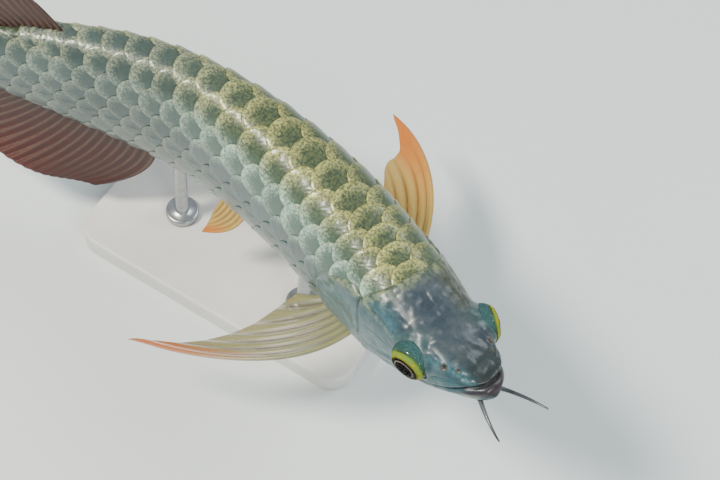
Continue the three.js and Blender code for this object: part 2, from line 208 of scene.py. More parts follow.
def angle_at(at, share):
    share = (share + 1) % 2 - 1
    row = np.clip((at - TABLE_AT[0]) / (TABLE_AT[1] - TABLE_AT[0]), 0, len(TABLE_AT) - 1.001)
    column = np.clip(np.abs(share) * (len(TABLE_SHARES) - 1), 0, len(TABLE_SHARES) - 1.001)
    i, j = row.astype(int), column.astype(int)
    low = mix(ANGLES[i, j], ANGLES[i, j + 1], column - j)
    high = mix(ANGLES[i + 1, j], ANGLES[i + 1, j + 1], column - j)
    return np.where(share < 0, -1, 1) * mix(low, high, row - i)


def body_point(at, share, grow=0):
    at, share = np.broadcast_arrays(np.asarray(at, float), np.asarray(share, float))
    return place(at, *section(at, angle_at(at, share), grow))


def unit_vectors(vectors):
    return vectors / np.maximum(np.linalg.norm(vectors, axis=-1, keepdims=True), 1e-12)


def body_normal(at, share, grow=0):
    """Outward direction of the body's surface."""
    step_at, step_share = 0.1, 0.004
    along = body_point(at + step_at, share, grow) - body_point(at - step_at, share, grow)
    across = body_point(at, share + step_share, grow) - body_point(at, share - step_share, grow)
    return unit_vectors(np.cross(across, along))


# The edge of the bare head: over the nape, down behind the gill cover and under the throat
GILL_MIDDLE_AT, GILL_MIDDLE_HEIGHT = 17.2, 0.2
GILL_BACK, GILL_UP, GILL_DOWN = 8.2, 8.5, 6.2
NAPE_AT, THROAT_AT = 15.7, 18.6


def head_edge(height):
    up = height - GILL_MIDDLE_HEIGHT
    rise = np.clip(up / np.where(up > 0, GILL_UP, GILL_DOWN), -1, 1)
    nape = (NAPE_AT - GILL_MIDDLE_AT) * smooth((up - GILL_UP) / 3)
    throat = (THROAT_AT - GILL_MIDDLE_AT) * smooth((-up - GILL_DOWN) / 3)
    return GILL_MIDDLE_AT + GILL_BACK * np.sqrt(1 - rise**2) + nape + throat


def ahead_of_edge(at, height):
    """How far ahead of the head's edge a place is, in side view."""
    step = 0.15
    slope = (head_edge(height + step) - head_edge(height - step)) / (2 * step)
    return (head_edge(height) - at) / np.sqrt(1 + slope**2)


# Meshes
def grid_quads(rows, columns, closed=False):
    """Faces of a grid of points numbered row by row."""
    i, j = np.meshgrid(np.arange(rows - 1), np.arange(columns if closed else columns - 1), indexing="ij")
    after = (j + 1) % columns
    corners = (i * columns + j, i * columns + after, (i + 1) * columns + after, (i + 1) * columns + j)
    return stacked(*corners).reshape(-1, 4)


def new_mesh(name, points, face_sets, masks, corner_maps):
    """A smooth mesh from points and arrays of quads and triangles, with a mask value for each point and a
    map place for each corner of a face."""
    mesh = bpy.data.meshes.new(name)
    faces = [face for part in face_sets for face in part.tolist()]
    mesh.from_pydata(points.reshape(-1, 3), [], faces, shade_flat=False)
    for mask, values in masks.items():
        layer = mesh.attributes.new(mask, "FLOAT", "POINT")
        layer.data.foreach_set("value", np.asarray(values, np.float32).ravel())
    layer = mesh.uv_layers.new(name="OFBake")
    corner_map = np.concatenate([places.ravel() for places in corner_maps])
    layer.data.foreach_set("uv", corner_map.astype(np.float32))
    return mesh


def map_columns(quads, around):
    """Column of each corner of a closed grid's faces, and around instead of 0 where they close the round."""
    column = quads % around
    wraps = np.ptp(column, axis=1, keepdims=True) > 1
    return np.where(wraps & (column == 0), around, column)


def tube(name, points, masks, map_along=None):
    """A closed mesh from rings of points, with a fan at each end. Its map has even rings, or map_along's."""
    rows, around = points.shape[:2]
    if map_along is None:
        map_along = np.arange(rows) / (rows - 1)
    column = np.arange(around)
    following = (column + 1) % around
    quads = grid_quads(rows, around, closed=True)
    middle, last_row = rows * around, (rows - 1) * around
    first = stacked(middle, following, column)
    last = stacked(middle + 1, last_row + column, last_row + following)
    across = 0.02 + 0.96 * map_columns(quads, around) / around
    corner_maps = [stacked(across, 0.04 + 0.92 * map_along[quads // around])]
    turn = circle(around)
    next_turn = turn + turn[1]
    for spot, turns in ((0.02, (next_turn, turn)), (0.98, (turn, next_turn))):
        ends = [stacked(np.cos(t), np.sin(t)) * 0.015 + spot for t in turns]
        corner_maps.append(np.stack([np.full((around, 2), spot), *ends], axis=1))

    def with_ends(values):
        ends = [values[0].mean(axis=0), values[-1].mean(axis=0)]
        return np.concatenate([values.reshape(-1, *values.shape[2:]), ends])

    masks = {mask: with_ends(np.broadcast_to(values, (rows, around))) for mask, values in masks.items()}
    return new_mesh(name, with_ends(points), [quads, first, last], masks, corner_maps)


def add_object(name, data):
    added = bpy.data.objects.new(name, data)
    bpy.context.scene.collection.objects.link(added)
    return added


def add_piece(mesh, material, nodes):
    """Shows a mesh as a piece that stands for CAD nodes."""
    piece = add_object(mesh.name, mesh)
    mesh.materials.append(material)
    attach(piece, "root")
    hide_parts(*nodes)


# Materials
def colour(code):
    """A colour written as on a screen, for the shader."""
    parts = [int(code[i:i + 2], 16) / 255 for i in (1, 3, 5)]
    return (*[p / 12.92 if p <= 0.04045 else ((p + 0.055) / 1.055) ** 2.4 for p in parts], 1)


class Surface:
    """A material whose nodes are made by short calls, each giving the node's output."""

    def __init__(self, name, **settings):
        self.material = bpy.data.materials.new(name)
        self.material.use_nodes = True
        self.tree = self.material.node_tree
        self.shader = self.tree.nodes["Principled BSDF"]
        for socket, value in settings.items():
            self.shader.inputs[socket.replace("_", " ")].default_value = value

    def node(self, kind, inputs, output=0, **options):
        node = self.tree.nodes.new("ShaderNode" + kind)
        for option, value in options.items():
            setattr(node, option, value)
        for socket, value in inputs.items():
            if isinstance(value, bpy.types.NodeSocket):
                self.tree.links.new(value, node.inputs[socket])
            else:
                node.inputs[socket].default_value = value
        return node.outputs[output]

    def mask(self, name):
        return self.node("Attribute", {}, "Fac", attribute_name=name)

    def spot(self):
        return self.node("TexCoord", {}, "Object")

    def noise(self, size, detail=3, rough=0.5, stretch=None):
        """Soft noise whose features are about size metres long."""
        spot = self.spot()
        if stretch:
            spot = self.node("VectorMath", {0: spot, 1: stretch}, operation="MULTIPLY")
        inputs = {"Vector": spot, "Scale": 1 / size, "Detail": detail, "Roughness": rough}
        return self.node("TexNoise", inputs)

    def cells(self, size):
        return self.node("TexVoronoi", {"Vector": self.spot(), "Scale": 1 / size}, "Distance")

    def sum(self, *terms):
        """Adds values and (value, factor) pairs."""
        total = 0.0
        for term in terms:
            value, factor = term if isinstance(term, tuple) else (term, 1.0)
            total = self.node("Math", {0: value, 1: factor, 2: total}, operation="MULTIPLY_ADD")
        return total

    def product(self, first, second):
        return self.node("Math", {0: first, 1: second}, operation="MULTIPLY")

    def step(self, value, start, end, low=0.0, high=1.0):
        """Low where the value is at start and high where it is at end, with an easy slope."""
        inputs = {"Value": value, 1: start, 2: end, 3: low, 4: high}
        return self.node("MapRange", inputs, interpolation_type="SMOOTHSTEP")

    def ramp(self, value, stops):
        node = self.tree.nodes.new("ShaderNodeValToRGB")
        elements = node.color_ramp.elements
        while len(elements) < len(stops):
            elements.new(0.5)
        for element, (position, code) in zip(elements, stops):
            element.position = position
            element.color = colour(code)
        self.tree.links.new(value, node.inputs[0])
        return node.outputs[0]

    def blend(self, share, first, second, way="MIX"):
        first, second = [colour(c) if isinstance(c, str) else c for c in (first, second)]
        inputs = {0: share, 6: first, 7: second}
        return self.node("Mix", inputs, 2, data_type="RGBA", blend_type=way)

    def fade(self, value, start, end, first, second):
        """The first colour where the value is at start and the second where it is at end."""
        return self.blend(self.step(value, start, end), first, second)

    def bump(self, height, distance, strength=1.0, under=None):
        inputs = {"Height": height, "Distance": distance, "Strength": strength}
        if under is not None:
            inputs["Normal"] = under
        return self.node("Bump", inputs)

    def finish(self, **links):
        for socket, output in links.items():
            self.tree.links.new(output, self.shader.inputs[socket.replace("_", " ")])
        return self.material


def markings(look, down):
    """The fish's ground colours, the same on skin and scales: dark back, silvery flank, pale belly."""
    patchy = look.noise(0.012, 4, 0.6)
    wavering = look.sum((patchy, 0.14), down, -0.07)
    return look.ramp(wavering, [
        (0.0, "#3a4633"), (0.16, "#45523d"), (0.27, "#566b5f"), (0.4, "#4c6363"), (0.62, "#586c6d"),
        (0.82, "#8e9a95"), (1.0, "#b4b4a8"),
    ])


def skin_material():
    look = Surface("wet_skin", Coat_Weight=0.08, Coat_Roughness=0.2, IOR=1.45,
                   Subsurface_Weight=0.06, Subsurface_Scale=0.002)
    down, along = look.mask("down"), look.mask("along")
    ground = markings(look, down)
    patchy = look.noise(0.009, 5, 0.62)
    fine = look.noise(0.0022, 4, 0.6)
    dots = look.cells(0.0013)
    roof = look.ramp(look.sum((patchy, 0.75), (fine, 0.25)), [
        (0.3, "#28323a"), (0.45, "#323d45"), (0.58, "#3d474c"), (0.72, "#454a52"),
    ])
    roof = look.blend(look.step(look.sum(along, (patchy, 0.03)), 0.085, 0.02), roof, "#1f2827")
    teal = look.fade(fine, 0.35, 0.65, "#2f555d", "#47747c")
    roof = look.blend(look.mask("teal"), roof, teal)
    roof = look.blend(look.step(dots, 0.0, 0.3, 0.35, 0.0), roof, "#1f2529")
    cheek = look.ramp(look.sum((along, 4.0), (patchy, 0.3), (fine, 0.3)), [
        (0.4, "#31525a"), (0.6, "#3e5c62"), (0.85, "#456267"), (1.0, "#4e696b"),
    ])
    head = look.blend(look.mask("roof"), cheek, roof)
    # Olive over the nape, on the fish's left side only: partly the nape's own colour and partly painted
    # shade on the far side.
    olive = look.ramp(fine, [(0.3, "#2b3027"), (0.48, "#3d4131"), (0.7, "#504f38")])
    head = look.blend(look.mask("nape"), head, olive)
    fringe = look.fade(fine, 0.42, 0.6, "#4d5a49", "#8d9468")
    head = look.blend(look.mask("fringe"), head, fringe)
    head = look.blend(look.step(down, 0.62, 0.86, 0.0, 0.8), head, "#a9aea6")
    colours = look.blend(look.mask("scaled"), head, ground)
    lips = look.ramp(fine, [(0.3, "#231d21"), (0.7, "#3a3035")])
    lid = look.ramp(fine, [(0.38, "#2e4447"), (0.62, "#3f5a57")])
    # Lips, lid and nostril rims take the skin's own colours. The groove colour is painted shade: near black
    # in creases, seams, pores, folds, nostril holes and where the skin runs under each eye.
    for mask, over in (("lip", lips), ("lid", lid), ("nostril", "#4f4636"), ("groove", "#191818")):
        colours = look.blend(look.mask(mask), colours, over)
    folds = look.noise(0.009, 1, 0.5)
    bump = look.bump(folds, 0.0045, 0.8)
    bump = look.bump(fine, 0.0001, 0.3, bump)
    bump = look.bump(dots, 0.00014, 0.2, bump)
    rough = look.sum((fine, 0.2), (patchy, 0.25), (look.mask("groove"), 0.2), 0.09)
    return look.finish(Base_Color=colours, Roughness=rough, Normal=bump)


def scale_material():
    look = Surface("wet_scales", Coat_Weight=0.35, Coat_Roughness=0.16, IOR=1.4, Metallic=0.1)
    down, along, rim = look.mask("down"), look.mask("along"), look.mask("rim")
    ground = markings(look, down)
    far, luck = look.mask("far"), look.mask("luck")
    grains = look.cells(0.0007)
    speckle = look.noise(0.0011, 3, 0.7)
    blotches = look.noise(0.005, 3, 0.6)
    streaks = look.noise(0.004, 3, 0.55, stretch=(1.6, 1.6, 0.35))
    near_rows = look.step(down, 0.1, 0.24)
    flank = look.step(look.sum(down, (blotches, 0.1), -0.05), 0.3, 0.42)
    centre = look.fade(speckle, 0.38, 0.64, "#333f30", "#59633c")
    centre = look.blend(near_rows, centre, "#4f6659")
    centre = look.blend(flank, centre, "#465a5a")
    centre = look.fade(down, 0.6, 0.9, centre, "#929d98")
    centre = look.blend(0.2, centre, ground)
    gold = look.fade(speckle, 0.38, 0.6, "#6f7440", "#b3b268")
    mint = look.fade(speckle, 0.35, 0.62, "#6f9382", "#bcd4bf")
    # Rims on the upper rows of the far (left) side are dimmer: painted shade of the side that lies in shade.
    # Toward the tail they go back to gold.
    far_shaded_edge = look.fade(speckle, 0.38, 0.62, "#62663f", "#918f57")
    far_shaded_edge = look.fade(along, 0.42, 0.6, far_shaded_edge, gold)
    edge = look.blend(near_rows, gold, mint)
    edge = look.blend(far, edge, far_shaded_edge)
    edge = look.blend(flank, edge, look.blend(streaks, "#4c6060", "#607371"))
    edge = look.fade(down, 0.6, 0.9, edge, "#9ca59f")
    tailward = look.product(look.step(along, 0.4, 0.62), look.step(far, 0.0, 1.0, 0.8, 0.0))
    centre = look.blend(tailward, centre, "#3f4e4d")
    slate = look.fade(speckle, 0.38, 0.64, "#57645c", "#8a9180")
    edge = look.blend(tailward, edge, slate)
    wander = look.sum((rim, 0.9), (speckle, 0.7), (blotches, 0.35), (luck, 0.15), -0.62)
    colours = look.fade(wander, 0.25, 0.95, centre, edge)
    # Painted glints: bright specks on the grains of each rim. There are fewer on the flank and toward the
    # tail, and they are dimmer on the far side as painted shade.
    lit = look.product(look.step(grains, 0.05, 0.3, 1.0, 0.0), look.step(wander, 0.4, 0.8))
    lit = look.product(lit, look.step(look.sum(flank, (tailward, 0.8)), 0.1, 0.8, 0.75, 0.0))
    colours = look.blend(lit, colours, look.blend(far, "#e6e3a6", "#b3ad6a"))
    # Painted shade: a dark line along each scale's rear edge, where it lies over the next scale, weaker on
    # the flank.
    outline = look.product(look.step(rim, 0.93, 1.0, 0.0, 0.5), look.step(flank, 0.0, 1.0, 1.0, 0.25))
    colours = look.blend(outline, colours, "#414b38")
    shade = look.sum((luck, 0.16), (streaks, 0.3), 0.76)
    colours = look.blend(1.0, colours, look.node("CombineXYZ", {0: shade, 1: shade, 2: shade}), "MULTIPLY")
    beads = look.product(look.step(rim, 0.35, 0.75), look.step(grains, 0.0, 0.5, 1.0, 0.0))
    bump = look.bump(beads, 0.00022, 0.9)
    bump = look.bump(speckle, 0.0001, 0.6, bump)
    rough = look.sum((speckle, 0.35), 0.22)
    return look.finish(Base_Color=colours, Roughness=rough, Normal=bump)


def fin_material(name, membrane, ray, fold, tip, clearness):
    """Membrane between rays, with darker folds and a different tip. Clearness shows what is behind."""
    look = Surface(name, Roughness=0.42, Coat_Weight=0.25, Coat_Roughness=0.25, IOR=1.38,
                   Subsurface_Weight=0.2, Subsurface_Scale=0.003)
    rays, folds, out = look.mask("ray"), look.mask("fold"), look.mask("out")
    patchy = look.noise(0.006, 4, 0.6)
    fine = look.noise(0.0012, 3, 0.6)
    ground = look.ramp(look.sum((patchy, 0.7), (fine, 0.3)), [(0.3, membrane[0]), (0.7, membrane[1])])
    ray_colour = look.ramp(fine, [(0.35, ray[0]), (0.65, ray[1])])
    colours = look.fade(rays, 0.2, 0.9, ground, ray_colour)
    colours = look.blend(look.product(folds, look.step(patchy, 0.25, 0.6, 0.45, 1.0)), colours, fold)
    far_out = look.sum(look.mask("tip"), (patchy, 0.2), -0.1)
    colours = look.blend(look.step(far_out, 0.35, 0.95, 0.0, 0.9), colours, tip)
    joints = look.node("TexWave", {"Vector": look.node("CombineXYZ", {0: out}), "Scale": 12.0}, "Fac")
    bump = look.bump(fine, 0.00008, 0.5)
    bump = look.bump(look.product(joints, rays), 0.00008, 0.5, bump)
    at_root = look.step(out, 0.0, 0.25, 0.6, 0.0)
    solid = look.sum((rays, 0.5), (folds, 0.4), at_root, 1 - clearness)
    return look.finish(Base_Color=colours, Normal=bump, Alpha=look.step(solid, 0.0, 1.0))


def eye_material():
    """Rings of colour by the distance from the eye's middle: pupil, iris and the yellow-green outer band."""
    look = Surface("eye_rings", Roughness=0.8, Specular_IOR_Level=0.04)
    streaks = look.noise(0.0009, 3, 0.6)
    patchy = look.noise(0.0032, 2, 0.5)
    reach = look.sum(look.mask("reach"), (streaks, 0.04), -0.02)
    colours = look.ramp(reach, [
        (0.0, "#010101"), (0.46, "#010101"), (0.49, "#8d7c71"), (0.52, "#5f534b"), (0.545, "#0d0d0b"),
        (0.66, "#14140d"), (0.71, "#6f6d1c"), (0.79, "#a8a01a"), (0.86, "#8a861e"), (0.885, "#3d3210"),
        (0.905, "#30492a"), (0.94, "#2c4a42"), (1.0, "#2d4749"),
    ])
    band = look.product(look.step(reach, 0.7, 0.76), look.step(patchy, 0.4, 0.58))
    colours = look.blend(look.product(band, look.step(reach, 0.87, 0.93, 0.85, 0.0)), colours, "#64893a")
    wall = look.product(look.step(reach, 0.9, 0.95, 0.0, 0.6), look.step(streaks, 0.4, 0.62))
    colours = look.blend(wall, colours, "#41605e")
    bump = look.bump(streaks, 0.00006, 0.3)
    return look.finish(Base_Color=colours, Normal=bump)


def cornea_material():
    look = Surface("clear_cornea", Roughness=0.03, Coat_Weight=1.0, Coat_Roughness=0.02, IOR=1.38)
    # The rim is painted paler and less clear: a painted reflection of the cornea seen edgewise.
    reach = look.sum(look.mask("reach"), (look.noise(0.004, 2), 0.06))
    colours = look.ramp(reach, [(0.8, "#1b2020"), (1.0, "#4a665f")])
    return look.finish(Base_Color=colours, Alpha=look.step(reach, 0.85, 1.02, 0.04, 0.2))


def barbel_material():
    look = Surface("barbel_skin", Roughness=0.35, Coat_Weight=0.4, Coat_Roughness=0.15)
    fine = look.noise(0.0012, 3, 0.6)
    tone = look.sum((look.mask("out"), 0.5), (fine, 0.4))
    colours = look.ramp(tone, [(0.1, "#4b5456"), (0.4, "#2c3336"), (0.8, "#1f2427")])
    return look.finish(Base_Color=colours, Normal=look.bump(fine, 0.00006, 0.5))


def paint_material():
    look = Surface("base_paint", Coat_Weight=0.15, Coat_Roughness=0.35)
    orange_peel = look.noise(0.0016, 2)
    patchy = look.noise(0.03, 4)
    colours = look.ramp(patchy, [(0.3, "#cfccc4"), (0.7, "#dad8d1")])
    rough = look.sum((orange_peel, 0.12), (patchy, 0.1), 0.38)
    return look.finish(Base_Color=colours, Roughness=rough, Normal=look.bump(orange_peel, 0.00005, 0.4))


def steel_material():
    look = Surface("brushed_rods", Metallic=1.0)
    brushing = look.noise(0.0007, 2, 0.5, stretch=(0.15, 0.15, 1))
    colours = look.ramp(brushing, [(0.3, "#a2a5a7"), (0.7, "#b6b9bb")])
    rough = look.sum((brushing, 0.12), 0.24)
    return look.finish(Base_Color=colours, Roughness=rough, Normal=look.bump(brushing, 0.00001, 0.3))


# The skin
FLESH_NODES = ["head", "lower_jaw", "gill_cover_left", "gill_cover_right",
               "trunk_front", "trunk_middle", "trunk_rear", "tail_stalk"]
EYE_AT, EYE_HEIGHT, EYE_RADIUS, EYE_DEPTH, EYE_BULGE = 7.9, 8.2, 2.6, 2.2, 1.8
LEFT_EYE_AHEAD, EYES_ROLLED = 0.7, math.radians(3)
EYE_TOE = math.radians(18)
EYE_MIDDLE = along_outline(EYE_AT, HALF) + EYE_BULGE - EYE_DEPTH
MOUTH_LINE = [(-1.4, 12.2), (-0.1, 11.5), (1, 10.7), (2.5, 9.1), (5, 6.5), (9, 2.9), (12.8, -0.4)]
RIM_RADIUS = 2.5
GILL_FRONT = [(17.4, 8.6), (16.1, 3.8), (15.9, -1.6), (17.0, -5.9)]
CHEEK_EDGE = [(16.0, -1.4), (14.9, -4.2), (12.4, -6.2), (9.6, -6.4)]
CHEEK_SEAMS = [
    [(10.7, 6.6), (13.4, 6.3), (15.7, 5.6)],
    [(9.8, 5.0), (12.4, 3.2), (15.2, 0.6)],
    [(7.0, 4.3), (7.6, 3.4)],
    [(5.4, 5.6), (4.3, 5.9), (3.4, 7.2)],
    [(10.3, 9.2), (13, 9.1), (16.0, 8.9)],
]
COVER_SEAM = [(16.9, -3.6), (20.4, -3.4), (24.4, -3.0)]
ROOF_SHARES = [(0, 0.3), (3, 0.27), (6, 0.33), (10.8, 0.37), (12.4, 0.3), (17.5, 0.28)]
CANAL = [(2.2, 2.3), (5.6, 3.3), (9, 3.6), (12, 4.0), (15.4, 4.5)]
NOSTRIL_AT, NOSTRIL_SHARE = 4.4, 0.245
TUBE_AT, TUBE_SHARE = 3.1, 0.195
AROUND = 288
JAW_AT, JAW_DOME = -0.8, 0.55
STALK_END, TAIL_DOME = 100, 3.4
HEAD_END, HEAD_STEP, TRUNK_STEP = 27.2, 0.135, 0.8


def line_distance(x, y, line):
    """Distance to a line of straight pieces, and how far along it the nearest place is, from 0 to 1."""
    best, along = np.full(x.shape, 1e9), np.zeros(x.shape)
    pieces = len(line) - 1
    for i in range(pieces):
        (x0, y0), (x1, y1) = line[i], line[i + 1]
        span = (x1 - x0) ** 2 + (y1 - y0) ** 2
        t = np.clip(((x - x0) * (x1 - x0) + (y - y0) * (y1 - y0)) / span, 0, 1)
        away = np.hypot(x - x0 - t * (x1 - x0), y - y0 - t * (y1 - y0))
        nearer = away < best
        best = np.where(nearer, away, best)
        along = np.where(nearer, (i + t) / pieces, along)
    return best, along


def skin_rings():
    """Places of the skin's rings, with the shrinking that rounds off the jaw tip and the tail end."""
    dome = np.linspace(math.pi / 2, 0, 14)[1:]
    head = np.arange(JAW_AT, HEAD_END, HEAD_STEP)[1:]
    trunk = np.arange(HEAD_END + 0.1, STALK_END, TRUNK_STEP)
    tail = np.linspace(0, math.pi / 2, 12)[:-1]
    ends = JAW_AT - JAW_DOME * np.sin(dome), STALK_END + TAIL_DOME * np.sin(tail)
    at = np.concatenate([ends[0], head, trunk, ends[1]])
    narrow = np.concatenate([np.cos(dome), np.ones(len(head) + len(trunk)), np.cos(tail)])
    return at, narrow


def mouth_relief(at, height):
    away, along = line_distance(at, height, MOUTH_LINE)
    line_height = np.interp(at, *zip(*MOUTH_LINE))
    above = np.where(height > line_height, away, -away)
    above = np.where(at < -0.35, np.where(height > 12.4, away, -away), above)
    fade = 1 - smooth((along - 0.93) / 0.07)
    front = 1 - smooth((at - 3) / 6)
    groove = hump(above, 0.13) * fade
    lower_lip = hump(above + 0.62, 0.42) * fade
    upper_lip = hump(above - 0.45, 0.3) * fade
    relief = -1.5 * groove + (0.25 + 0.45 * front) * lower_lip + 0.35 * upper_lip
    plate = 0.75 + 0.11 * np.clip(at, 0, 12)
    inside = smooth((plate - above) / 0.16) * smooth((above - 0.1) / 0.2)
    ends = smooth((at - 1.6) / 1.2) * smooth((13.3 - 0.25 * (above - 0.9) ** 2 - at) / 0.3)
    relief += 0.4 * inside * ends - 0.35 * hump(above - plate - 0.1, 0.14) * ends
    lip = hump(above + 0.8, 0.9) * (1 - smooth((at - 0.4) / 2))
    return relief, groove, lip


def around_eyes(at, left, height):
    """Moves the skin out to each eye's rim or in under the ball, along the eye's axis. Also gives how far
    past the rim each place is, in units."""
    forward = EYE_AT - np.where(left > 0, LEFT_EYE_AHEAD, 0) - at
    out = np.abs(left) - EYE_MIDDLE
    beside = forward * math.cos(EYE_TOE) - out * math.sin(EYE_TOE)
    outward = forward * math.sin(EYE_TOE) + out * math.cos(EYE_TOE)
    past = np.hypot(beside, height - EYE_HEIGHT) - RIM_RADIUS
    brow = smooth((height - EYE_HEIGHT + 0.4) / 2.4)
    raised = outward + (0.22 + 0.4 * brow) * hump(past, 0.4)
    under = np.maximum(raised + 7 * past, -1.8)
    push = (np.where(past < 0, under, raised) - outward) * smooth((outward + 3.4) / 1.2)
    return at - push * math.sin(EYE_TOE), left + np.sign(left) * push * math.cos(EYE_TOE), past


def nostril_relief(points):
    """Two openings on each side of the snout: a small tube near the lip and a round hole behind it, with
    painted shade in each hole.
    """
    relief, tint, hole_shade = (np.zeros(points.shape[:-1]) for _ in range(3))
    for side in (1, -1):
        for hole_at, hole_share, size in ((NOSTRIL_AT, NOSTRIL_SHARE, 0.38), (TUBE_AT, TUBE_SHARE, 0.2)):
            middle = body_point(hole_at, side * hole_share)
            away = np.linalg.norm(points - middle, axis=-1) / UNIT
            relief += 0.28 * hump(away - size, size * 0.5) - 1.1 * hump(away, size * 0.6)
            tint = np.maximum(tint, smooth((size * 1.7 - away) / size))
            hole_shade = np.maximum(hole_shade, 0.8 * smooth((size * 0.8 - away) / (size * 0.5)))
    return relief, tint, hole_shade


def side_relief(at, left, height):
    """Plates of the cheek and the gill cover, as shallow seams and steps in side view."""
    flank = smooth((np.abs(left) / along_outline(at, HALF) - 0.45) / 0.3)
    relief, groove = np.zeros(at.shape), np.zeros(at.shape)
    for line, depth, width in [(line, 0.28, 0.13) for line in CHEEK_SEAMS] + [(COVER_SEAM, 0.3, 0.14)]:
        away, along = line_distance(at, height, line)
        fade = smooth(along / 0.15) * smooth((1 - along) / 0.15)
        relief -= depth * hump(away, width) * fade
        groove += 0.3 * hump(away, width) * fade
    for line in (GILL_FRONT, CHEEK_EDGE):
        away, along = line_distance(at, height, line)
        line_at = np.interp(height, *zip(*sorted((h, a) for a, h in line)))
        ahead = line_at - at
        relief += -0.6 * hump(away, 0.17) + 0.3 * hump(away - 0.5, 0.45) * (ahead > 0)
        groove += 0.55 * hump(away, 0.15)
    return relief * flank, groove * flank


def roof_relief(at, left, height):
    """Sensory canals with pores, and the shallow hollow between the eyes."""
    top = smooth((height - along_outline(at, WIDE)) / 2)
    away, along = line_distance(at, np.abs(left), CANAL)
    pores = 0.5 + 0.5 * np.cos(along * 2 * math.pi * 11)
    canal = hump(away, 0.14) * top
    relief = -0.08 * canal - 0.14 * canal * pores**3
    relief -= 0.45 * hump(left, 2.0) * hump(at - 8.5, 4.5) * top
    relief -= 0.16 * hump(left, 0.2) * smooth((at - 1.5) / 2) * smooth((15 - at) / 3) * top
    relief += 0.35 * hump(np.abs(left) - 4.4, 0.8) * hump(at - 8, 3.4) * top
    return relief, 0.15 * canal * pores**3


def throat_relief(at, left, height):
    """Seam between the jaw's two halves, and the folds of the gill membrane under the throat."""
    under = smooth((along_outline(at, WIDE) - height) / 3)
    jaw = smooth((at + 0.4) / 1.5) * smooth((13 - at) / 2)
    relief = -0.8 * hump(left, 0.28) * jaw * under
    folds = np.zeros(at.shape)
    for fold in range(1, 7):
        line = 0.35 + 0.55 * fold * np.clip((at - 6) / 11, 0.05, 1.1)
        folds += hump(np.abs(left) - line, 0.1)
    folds *= smooth((at - 9.5) / 2) * smooth((head_edge(height) - 0.6 - at) / 1.0) * under
    folds *= smooth((-2.5 - height) / 1.5)
    return relief - 0.35 * folds, 0.25 * folds


def make_skin():
    at_rings, narrow = skin_rings()
    shares = np.arange(AROUND) / AROUND * 2 - 1
    at, share = np.meshgrid(at_rings, shares, indexing="ij")
    shrink = np.repeat(narrow[:, None], AROUND, axis=1)
    left, height = section(at, angle_at(at, share))
    wide = along_outline(at, WIDE)
    tail = at > STALK_END
    left = left * np.where(tail, mix(0.3, 1, shrink), shrink)
    height = np.where(tail, height * mix(0.93, 1, shrink), wide + (height - wide) * shrink)
    at, left, past_rim = around_eyes(at, left, height)
    points = place(at, left, height)
    along_skin = np.gradient(points, axis=0)
    across = np.roll(points, -1, axis=1) - np.roll(points, 1, axis=1)
    normals = unit_vectors(np.cross(across, along_skin))

    ahead = ahead_of_edge(at, height)
    bare = smooth(ahead / 0.5 + 0.5)
    head = smooth((27 - at) / 2)
    mouth, mouth_groove, lip = mouth_relief(at, height)
    clear_of_eye = smooth((past_rim - 0.2) / 0.6)
    nostrils, nostril, hole_shade = nostril_relief(points)
    sides, side_groove = side_relief(at, left, height)
    roof, roof_groove = roof_relief(at, left, height)
    throat, throat_groove = throat_relief(at, left, height)
    details = (mouth + nostrils + sides + roof + throat) * clear_of_eye
    edge = hump(ahead - 0.5, 0.5) * 0.12
    relief = (details + edge) * bare * head * MM_IN_UNITS - COAT * (1 - bare)
    points = points + normals * (relief * UNIT)[..., None]
    # Painted shade for the groove mask: darkness painted into the mouth line, seams, canal pores, throat
    # folds, nostril holes and the skin under each eye's rim.
    crease_shade = mouth_groove * 0.9 + (side_groove + roof_groove) * clear_of_eye + throat_groove + hole_shade

    roof_share = np.interp(at, *zip(*ROOF_SHARES))
    masks = {
        "down": np.abs(share),
        "along": at / 100,
        "roof": 1 - smooth((np.abs(share + 0.03) - roof_share - np.where(share > 0, 0.1, 0)) / 0.1 + 0.5),
        "teal": 0.7 * hump(share + roof_share - 0.05, 0.07),
        # The nape mask keeps to the left side, as painted shade of that side.
        "nape": 0.8 * smooth(at / 6 - 1) * smooth((share - 0.06) / 0.1) * smooth((0.4 - share) / 0.1),
        "fringe": 0.75 * hump(ahead, 1.1) * smooth((0.42 - np.abs(share)) / 0.12),
        "scaled": 1 - bare,
        "lip": np.clip(lip, 0, 1) * bare,
        "lid": smooth((0.9 - past_rim) / 0.8) * 0.9,
        "nostril": nostril * 0.75,
        "groove": np.clip(crease_shade + smooth(-past_rim / 0.06), 0, 1) * head,
    }
    map_along = (at_rings - at_rings[0]) / (at_rings[-1] - at_rings[0])
    mesh = tube("skin", points, masks, map_along)
    add_piece(mesh, skin_material(), FLESH_NODES)


make_skin()


# The scales: plates in staggered rows, each lying over the one behind it
BELLY_ROW, LINE_ROW = 7, 4
REAR_ROWS, REAR_FIRST = 4, 1.5
PITCHES = [(14, 2.8), (24, 2.9), (30, 3.8), (45, 4.1), (54, 3.5), (70, 3.2), (100, 2.4)]
FIRST_SCALE_AT, LAST_SCALE_AT = 18.5, 100.5
FIN_BASE_AT = 75
SCALE_REAR, SCALE_FRONT, SCALE_HALF = 0.66, 1.0, 0.74
SCALE_THICKNESS = 0.34 * MM_IN_UNITS
SCALE_RINGS, SCALE_SPOKES = 13, 72
COAT_PARTS = {"scales_front": (0, 31), "scales_middle": (31, 47), "scales_rear": (47, 64),
              "scales_tail": (64, 78), "scales_stalk": (78, 110)}


def rows_closing(at):
    """How far the rows have moved together toward the tail, where the outer ones end at the fins."""
    return smooth((at - 66) / 26)


def row_share(row, at):
    even = row / BELLY_ROW
    on_middle = (row == 0) | (row == BELLY_ROW)
    return np.where(on_middle, even, mix(even, (row - REAR_FIRST) / REAR_ROWS, rows_closing(at)))


